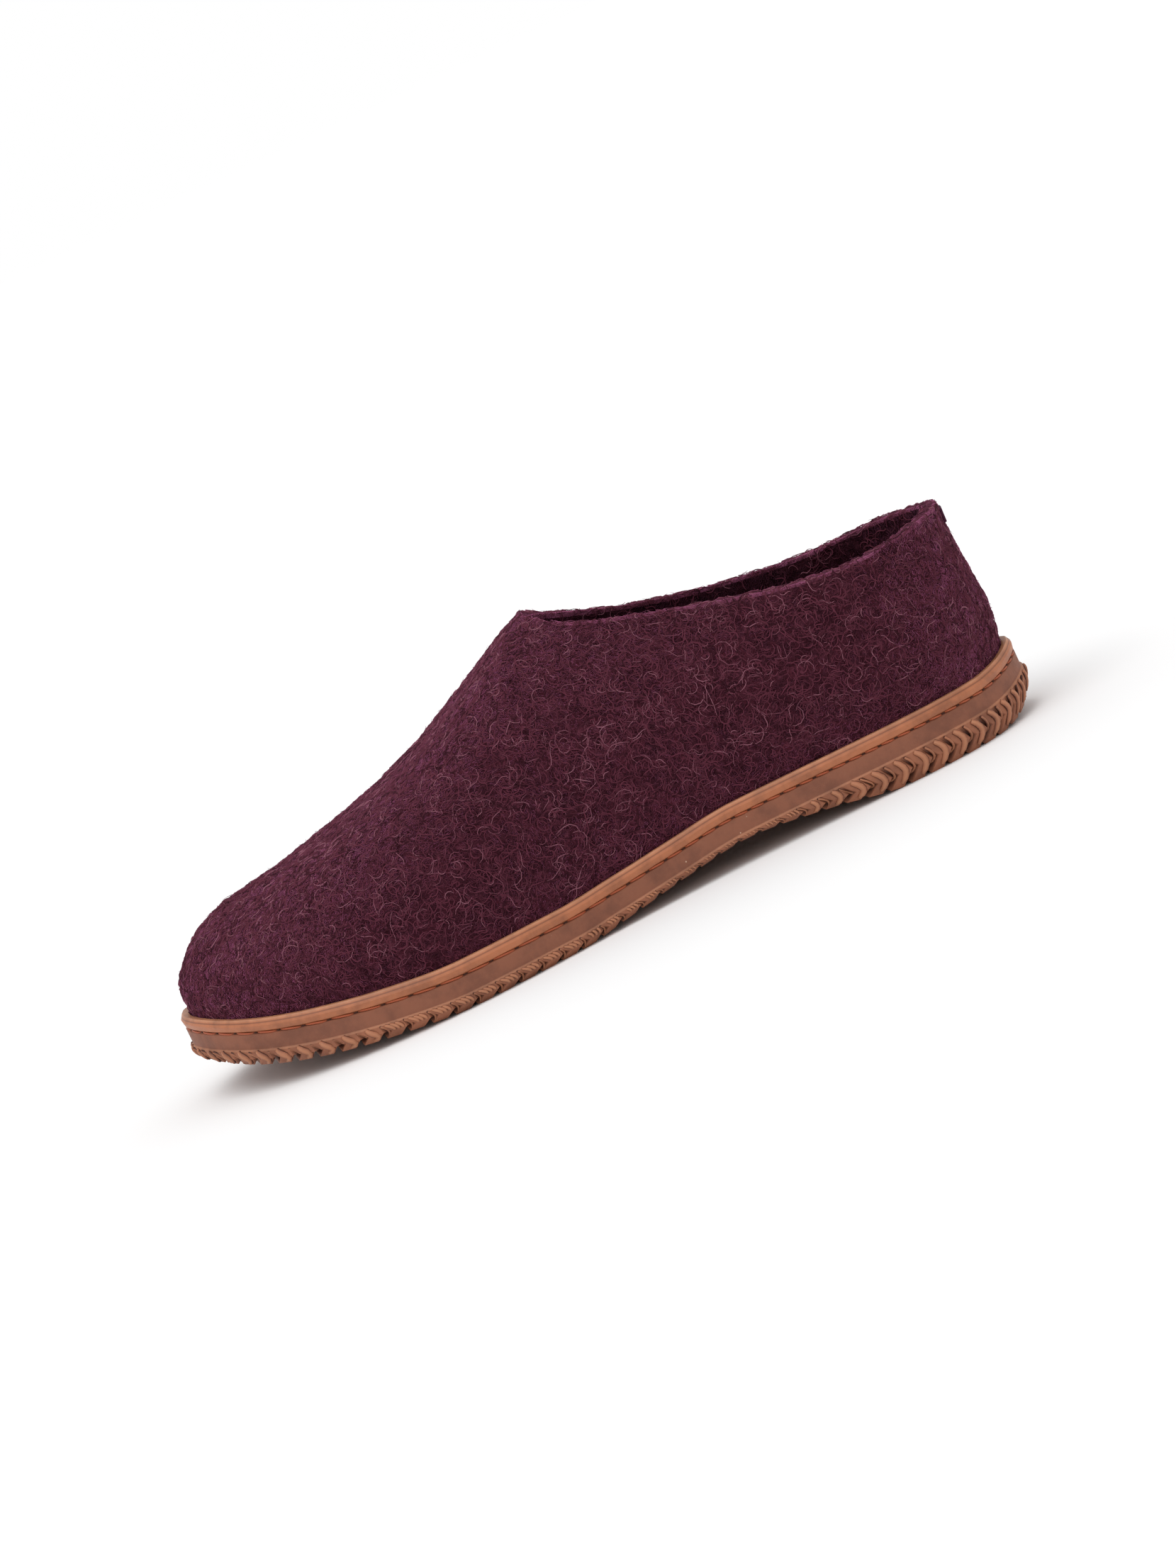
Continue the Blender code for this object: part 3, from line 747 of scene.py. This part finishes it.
def strand_mesh(name, line, normals, radius, tone):
    """Thin tapering tubes with closed tips, all in one mesh, with a tone for each strand."""
    count, steps, _ = line.shape
    along = unit(np.gradient(line, axis=1))
    across = unit(np.cross(along, normals))
    upward = np.cross(across, along)
    taper = np.sin(np.linspace(*FIBRE_TAPER, steps) * math.pi) ** FIBRE_FULLNESS
    width = radius[:, None, None] * taper[None, :, None]
    angles = np.arange(FIBRE_SIDES) * 2 * math.pi / FIBRE_SIDES
    sides = [upward * math.cos(angle) + across * math.sin(angle) for angle in angles]
    verts = np.stack([line + width * side for side in sides], axis=2).reshape(-1, 3)
    facing = [unit(normals + FIBRE_ROUNDNESS * side) for side in sides]
    facing = np.stack(facing, axis=2).reshape(-1, 3)
    index = np.arange(count * steps * FIBRE_SIDES).reshape(count, steps, FIBRE_SIDES)
    near, far = index[:, :-1], index[:, 1:]
    walls = np.stack((near, np.roll(near, -1, 2), np.roll(far, -1, 2), far), axis=-1).reshape(-1, 4)
    tips = np.concatenate((index[:, 0, ::-1], index[:, -1]))
    tip_starts = walls.size + np.arange(len(tips)) * FIBRE_SIDES
    starts = np.concatenate((np.arange(len(walls)) * 4, tip_starts))
    mesh = bpy.data.meshes.new(name)
    mesh.vertices.add(len(verts))
    mesh.vertices.foreach_set("co", verts.ravel())
    mesh.loops.add(walls.size + tips.size)
    mesh.loops.foreach_set("vertex_index", np.concatenate((walls.ravel(), tips.ravel())))
    mesh.polygons.add(len(starts))
    mesh.polygons.foreach_set("loop_start", starts)
    mesh.update(calc_edges=True)
    shade = mesh.attributes.new("tone", "FLOAT", "POINT")
    shade.data.foreach_set("value", np.repeat(tone, steps * FIBRE_SIDES))
    mesh.shade_smooth()
    mesh.normals_split_custom_set_from_vertices(facing)
    return mesh


def make_fibres(upper):
    """The loose wool on the felt, in a few pieces."""
    surface = surface_of(upper)
    tree = BVHTree.FromPolygons(surface[0].tolist(), surface[1].tolist())
    wool = fibre_material()
    for number in range(FIBRE_PIECES):
        tone = RANDOM.random(FIBRES_PER_PIECE)
        line, normals, fuzzy = lay_fibres(surface, tree, tone)
        radius = FIBRE_RADIUS * MM * RANDOM.uniform(*FIBRE_RADIUS_RANGE, FIBRES_PER_PIECE)
        radius *= np.where(fuzzy, FUZZ_THINNESS, 1.0) * np.where(tone > PALE_FROM, PALE_THINNESS, 1.0)
        mesh = strand_mesh(f"wool_fibres_{number + 1}", line, normals, radius, tone)
        piece(mesh, mesh.name, (wool,))


def groove_path(bm):
    """The stitch groove's bottom all round the sole, as points in order, from the merged sole."""
    points = np.array([vert.co for vert in bm.verts])
    ring = points[np.abs(above_ledge(points) - STITCH_LINE) < STITCH_LINE_REACH]
    lateral = ring[ring[:, 1] < SOLE_AXIS_SIDE]
    medial = ring[ring[:, 1] >= SOLE_AXIS_SIDE]
    return np.concatenate((lateral[np.argsort(-lateral[:, 0])], medial[np.argsort(medial[:, 0])]))


def depth_inside(points, path):
    """How far each point lies inside the stitch groove's line, in mm, seen from above."""
    tree = KDTree(len(path))
    for i, spot in enumerate(path):
        tree.insert((spot[0], spot[1], 0), i)
    tree.balance()
    depth = np.zeros(len(points))
    for i, point in enumerate(points):
        flat = Vector((point[0], point[1], 0))
        near, _, _ = tree.find(flat)
        inward = (on_axis(near.x, SOLE_AXIS_SIDE, 0) - near).normalized()
        depth[i] = (flat - near).dot(inward) / MM
    return depth


def groove_points(bm, path):
    """The vertices half way up the tread's side, and those at the bottom of its grooves."""
    points = np.array([vert.co for vert in bm.verts])
    along = (HEEL_BACK_X - points[:, 0]) / MM
    height = points[:, 2] / MM - UNDERSIDE(along)
    tread = TREAD(along)
    depth = depth_inside(points, path)
    half_way = (np.abs(height - tread / 2) < HALF_WAY_REACH) & (depth < SIDE_DEPTH)
    beneath = (height > GROOVE_MIN_DEPTH) & (height < tread * GROOVE_TOP_SHARE) & ~half_way
    return half_way, (half_way & (depth > SIDE_GROOVE_DEPTH)) | beneath


def paint_sole(bm, in_groove):
    """Stores each point's height above the ledge, and whether it lies at the bottom of a groove, where
    the rubber gets painted shade.
    """
    band = bm.verts.layers.float.new("band")
    shade_and_highlight = bm.verts.layers.float.new("shade_and_highlight")
    height = above_ledge(np.array([vert.co for vert in bm.verts]))
    for i, vert in enumerate(bm.verts):
        vert[band] = height[i]
        vert[shade_and_highlight] = float(in_groove[i])


def curved_through(low, middle, high, shift, reach):
    """Points of a curve from the tread's lower edge up to the ledge, moved out by a shift."""
    control = 2 * middle - (low + high) / 2
    shares = np.linspace(*reach, len(RIB_TAPER))
    return np.array(
        [low * (1 - t) ** 2 + control * (2 * t * (1 - t)) + high * t**2 + shift for t in shares]
    )


def ends_of(vert):
    """The lowest and highest neighbours of a vertex on the tread's side."""
    around = sorted((edge.other_vert(vert) for edge in vert.link_edges), key=lambda other: other.co.z)
    return around[0].co, around[-1].co


def make_tread_ribs(bm, half_way, in_groove, material):
    """Rounded ridges or small bumps on each lug, and a thin rib in each groove, curved as it is; each
    with a painted highlight on its outer side and painted shade at its base, the ribs in the grooves
    shaded more.
    """
    ribs = bmesh.new()
    bm.verts.ensure_lookup_table()
    shade_and_highlight = ribs.verts.layers.float.new("shade_and_highlight")
    band = ribs.verts.layers.float.new("band")

    def add_rib(low, middle, high, proud, wide, thick, dark, sway=None, reach=RIB_REACH):
        size = min(1.0, (high.z - low.z) / RIB_FULL_HEIGHT)
        outward = Vector(outward_at(np.array(middle)))
        line = curved_through(low, middle, high, outward * proud * size * MM, reach)
        if sway is not None:
            line += np.sin(np.linspace(0, 2 * math.pi, len(line)))[:, None] * np.array(sway)
        first = len(ribs.verts)
        add_tube(ribs, line, wide * size * MM * np.array(RIB_TAPER), thick / wide, shade_and_highlight)
        ribs.verts.ensure_lookup_table()
        for vert in ribs.verts[first:]:
            vert.co.z = max(vert.co.z, FLOOR_CLEARANCE)
            # Painted light: the rib's outer side lighter, its base and inner side darker, the ribs in
            # grooves darker still
            vert[shade_and_highlight] = dark + CREST_SHADES[0] - CREST_SHADES[1] * vert[shade_and_highlight]
            vert[band] = RIB_BAND

    for index in np.flatnonzero(half_way & in_groove):
        low, high = ends_of(bm.verts[index])
        middle = bm.verts[index].co
        add_rib(low, middle, high, GROOVE_RIB_PROUD, *GROOVE_RIB, GROOVE_RIB_SHADE)
    row = set(np.flatnonzero(half_way & ~in_groove).tolist())
    for edge in bm.edges:
        if edge.verts[0].index in row and edge.verts[1].index in row:
            first, second = sorted(edge.verts, key=lambda vert: vert.co.x)
            lines = [(ends_of(vert)[0], vert.co, ends_of(vert)[1]) for vert in (first, second)]
            along = (HEEL_BACK_X - first.co.x) / MM
            if PLAIN_LUGS[0] < along < PLAIN_LUGS[1]:
                for place in BUMP_PLACES:
                    low, middle, high = (a.lerp(b, place) for a, b in zip(*lines))
                    add_rib(low, middle, high, BUMP_PROUD, *BUMP_RIDGE, 0.0, reach=BUMP_REACH)
                continue
            low, middle, high = (a.lerp(b, 0.5) for a, b in zip(*lines))
            sway = (second.co - first.co).normalized() * TOE_SWAY if along > PLAIN_LUGS[1] else None
            add_rib(low, middle, high, LUG_RIDGE_PROUD, *LUG_RIDGE, 0.0, sway)
    finished(ribs, "tread_ribs", (material,))


def make_outsole():
    """The rubber cup sole and its ribs; returns the stitch groove's path."""
    bm = merged_copy("outsole")
    path = groove_path(bm)
    half_way, in_groove = groove_points(bm, path)
    rubber = rubber_material()
    make_tread_ribs(bm, half_way, in_groove, rubber)
    paint_sole(bm, in_groove)
    outsole = finished(bm, "rubber_outsole", (rubber,), "outsole")
    edges = outsole.modifiers.new("moulded edges", "BEVEL")
    edges.width = MOULDED_EDGE
    edges.segments = MOULDED_SEGMENTS
    edges.limit_method = "ANGLE"
    edges.angle_limit = MOULDED_ANGLE
    return path


def stitch_starts(reached, loop):
    """Where each stitch starts along a closed path, and its length: short at the heel, longer ahead."""
    along, pitches = zip(*STITCH_PITCHES)
    starts = [0.0]
    while starts[-1] < reached[-1]:
        here = along_loop(reached, loop, np.array(starts[-1]))
        starts.append(starts[-1] + np.interp((HEEL_BACK_X - here[0]) / MM, along, pitches) * MM)
    starts = np.array(starts) * reached[-1] / starts[-1]
    return zip(starts[:-1], np.diff(starts))


def along_loop(reached, loop, distance):
    """Points of a closed path at given distances along it."""
    distance = np.mod(distance, reached[-1])
    return np.stack([np.interp(distance, reached, loop[:, i]) for i in range(3)], axis=-1)


def outward_at(points):
    """The level direction away from the shoe's middle line."""
    centre = np.stack((np.clip(points[..., 0], *AXIS_ENDS), np.zeros(points.shape[:-1])), axis=-1)
    flat = unit(points[..., :2] - centre)
    return np.concatenate((flat, np.zeros((*flat.shape[:-1], 1))), axis=-1)


def make_stitching(path):
    """Thread in the groove, one short arched stitch after another, with a dark dish of painted shade for
    the hole after each.
    """
    loop = np.vstack((path, path[:1]))
    reached = np.concatenate(([0], np.cumsum(np.linalg.norm(np.diff(loop, axis=0), axis=1))))
    thread = bmesh.new()
    holes = bmesh.new()
    shares = np.linspace(0, 1, STITCH_POINTS)
    for start, pitch in stitch_starts(reached, loop):
        line = along_loop(reached, loop, start + shares * (pitch - STITCH_GAP * MM))
        outward = outward_at(line)
        bulge = (STITCH_BULGE - STITCH_DIP * np.abs(2 * shares - 1) ** STITCH_DIP_POWER) * MM
        line = line + outward * bulge[:, None]
        line[:, 2] += (shares - 0.5) * STITCH_SLANT * MM
        add_tube(thread, line, THREAD_RADIUS * MM)
        spot = along_loop(reached, loop, np.array(start + pitch - STITCH_GAP / 2 * MM))
        add_hole(holes, spot, outward_at(spot))
    finished(thread, "rim_stitching", (thread_material(),))
    finished(holes, "needle_holes", (hole_material(),))


def add_tube(bm, line, radius, flat=1.0, crest=None):
    """A tube along a line of points, closed at its ends; flat is its thickness by its width.

    crest, if given, is a layer that takes 1 at the tube's outer side and -1 at its inner side.
    """
    rings = []
    radii = np.broadcast_to(radius, len(line))
    for i, spot in enumerate(line):
        ahead = Vector(line[min(i + 1, len(line) - 1)] - line[max(i - 1, 0)]).normalized()
        outward = Vector(outward_at(np.array(spot)))
        sideways = ahead.cross(outward).normalized()
        outward = sideways.cross(ahead)
        made = bmesh.ops.create_circle(bm, segments=TUBE_SIDES, radius=radii[i])
        for vert in made["verts"]:
            if crest:
                vert[crest] = vert.co.y / radii[i]
            vert.co = Vector(spot) + sideways * vert.co.x + outward * vert.co.y * flat
        rings.append(made["verts"])
    loops = [{edge for vert in ring for edge in vert.link_edges} for ring in rings]
    for first, second in zip(loops, loops[1:]):
        bmesh.ops.bridge_loops(bm, edges=list(first | second))
    for ring in (rings[0], rings[-1]):
        bmesh.ops.contextual_create(bm, geom=ring)


def add_hole(bm, spot, outward):
    """A small dark dish where the thread goes in: painted shade of the hole."""
    made = bmesh.ops.create_icosphere(bm, subdivisions=2, radius=HOLE_RADIUS)
    across = Vector((-outward[1], outward[0], 0))
    deep, long, high = HOLE_STRETCH
    for vert in made["verts"]:
        ball = vert.co.copy()
        vert.co = Vector(spot) + Vector(outward) * (ball.x * deep + HOLE_PROUD) + across * ball.y * long
        vert.co.z += ball.z * high


def make_insole():
    """The felt footbed, split finer so that it shades smoothly."""
    bm = merged_copy("insole")
    bmesh.ops.subdivide_edges(bm, edges=bm.edges, cuts=1, use_grid_fill=True)
    material = felt_material("insole felt", INSOLE_DARK, INSOLE_PLUM, INSOLE_STRAND, INSOLE_SHEEN)
    finished(bm, "felt_insole", (material,), "insole")


def make_heel_tab(upper):
    """The ribbon tab, laid against the felt: its back close to it, its face a thickness away."""
    bm = merged_copy("heel_tab")
    points, corners, _ = surface_of(upper)
    felt = BVHTree.FromPolygons(points.tolist(), corners.tolist())
    bm.normal_update()
    for vert in bm.verts:
        spot, facing, _, _ = felt.find_nearest(vert.co)
        vert.co = spot + facing * (TAB_THICKNESS if vert.normal.x > 0 else TAB_LIFT)
    bm.normal_update()
    round_edges(bm, sharp_edges(bm, TAB_EDGE_ANGLE), TAB_ROUNDING)
    finished(bm, "back_tab", (ribbon_material(),), "heel_tab")


def make_stage():
    """A pale floor, wide enough that its far edge melts into the white behind it."""
    bm = bmesh.new()
    bmesh.ops.create_circle(bm, cap_ends=True, segments=FLOOR_CORNERS, radius=FLOOR_RADIUS)
    mesh = bpy.data.meshes.new("studio_floor")
    bm.to_mesh(mesh)
    bm.free()
    material, _, shader, _ = new_material("pale floor", FLOOR_ROUGHNESS)
    shader.inputs["Base Color"].default_value = (*FLOOR_COLOUR, 1)
    shader.inputs["Specular IOR Level"].default_value = 0.0
    mesh.materials.append(material)
    floor = bpy.data.objects.new("studio_floor", mesh)
    bpy.context.scene.collection.objects.link(floor)


def make_lights():
    """Soft light from all round, with a broad overhead light a little in front and to the left."""
    sun = bpy.data.lights.new("broad overhead", "SUN")
    sun.energy = OVERHEAD_STRENGTH
    sun.angle = OVERHEAD_WIDTH
    overhead = bpy.data.objects.new("broad overhead", sun)
    overhead.rotation_euler = Vector(OVERHEAD_DIRECTION).to_track_quat("-Z", "Y").to_euler()
    bpy.context.scene.collection.objects.link(overhead)
    world = bpy.data.worlds.new("studio")
    world.use_nodes = True
    tree = world.node_tree
    seen = add(tree, "ShaderNodeLightPath").outputs["Is Camera Ray"]
    strength = spread(tree, seen, 0.0, 1.0, AMBIENT_STRENGTH, SEEN_WHITE)
    tree.links.new(strength, tree.nodes["Background"].inputs["Strength"])
    tree.nodes["Background"].inputs["Color"].default_value = (1, 1, 1, 1)
    bpy.context.scene.world = world
    bpy.context.scene.view_settings.view_transform = "Standard"


def make_camera():
    """The photo's view: the shoe's side from a little above, rolled so that the heel is up right."""
    camera = bpy.data.cameras.new("photo view")
    camera.sensor_fit = "HORIZONTAL"
    camera.sensor_width = SENSOR
    camera.lens = PIXELS_PER_MM / MM * DISTANCE * SENSOR / PHOTO_WIDTH
    camera.shift_x = (PHOTO_WIDTH / 2 - AIM_PIXEL[0]) / PHOTO_WIDTH
    camera.shift_y = (AIM_PIXEL[1] - PHOTO_HEIGHT / 2) / PHOTO_WIDTH
    turn, rise = math.radians(-TURN_TO_TOE), math.radians(ELEVATION)
    back = Vector((math.sin(turn) * math.cos(rise), -math.cos(turn) * math.cos(rise), math.sin(rise)))
    obj = bpy.data.objects.new("photo view", camera)
    obj.location = Vector((0, 0, AIM_HEIGHT)) + back * DISTANCE
    facing = (-back).to_track_quat("-Z", "Y").to_matrix().to_4x4()
    obj.rotation_euler = (facing @ facing.Rotation(math.radians(-ROLL), 4, "Z")).to_euler()
    bpy.context.scene.collection.objects.link(obj)
    bpy.context.scene.camera = obj


felt_upper = make_upper()
make_fibres(felt_upper)
stitch_path = make_outsole()
make_stitching(stitch_path)
make_insole()
make_heel_tab(felt_upper)
make_stage()
make_lights()
make_camera()
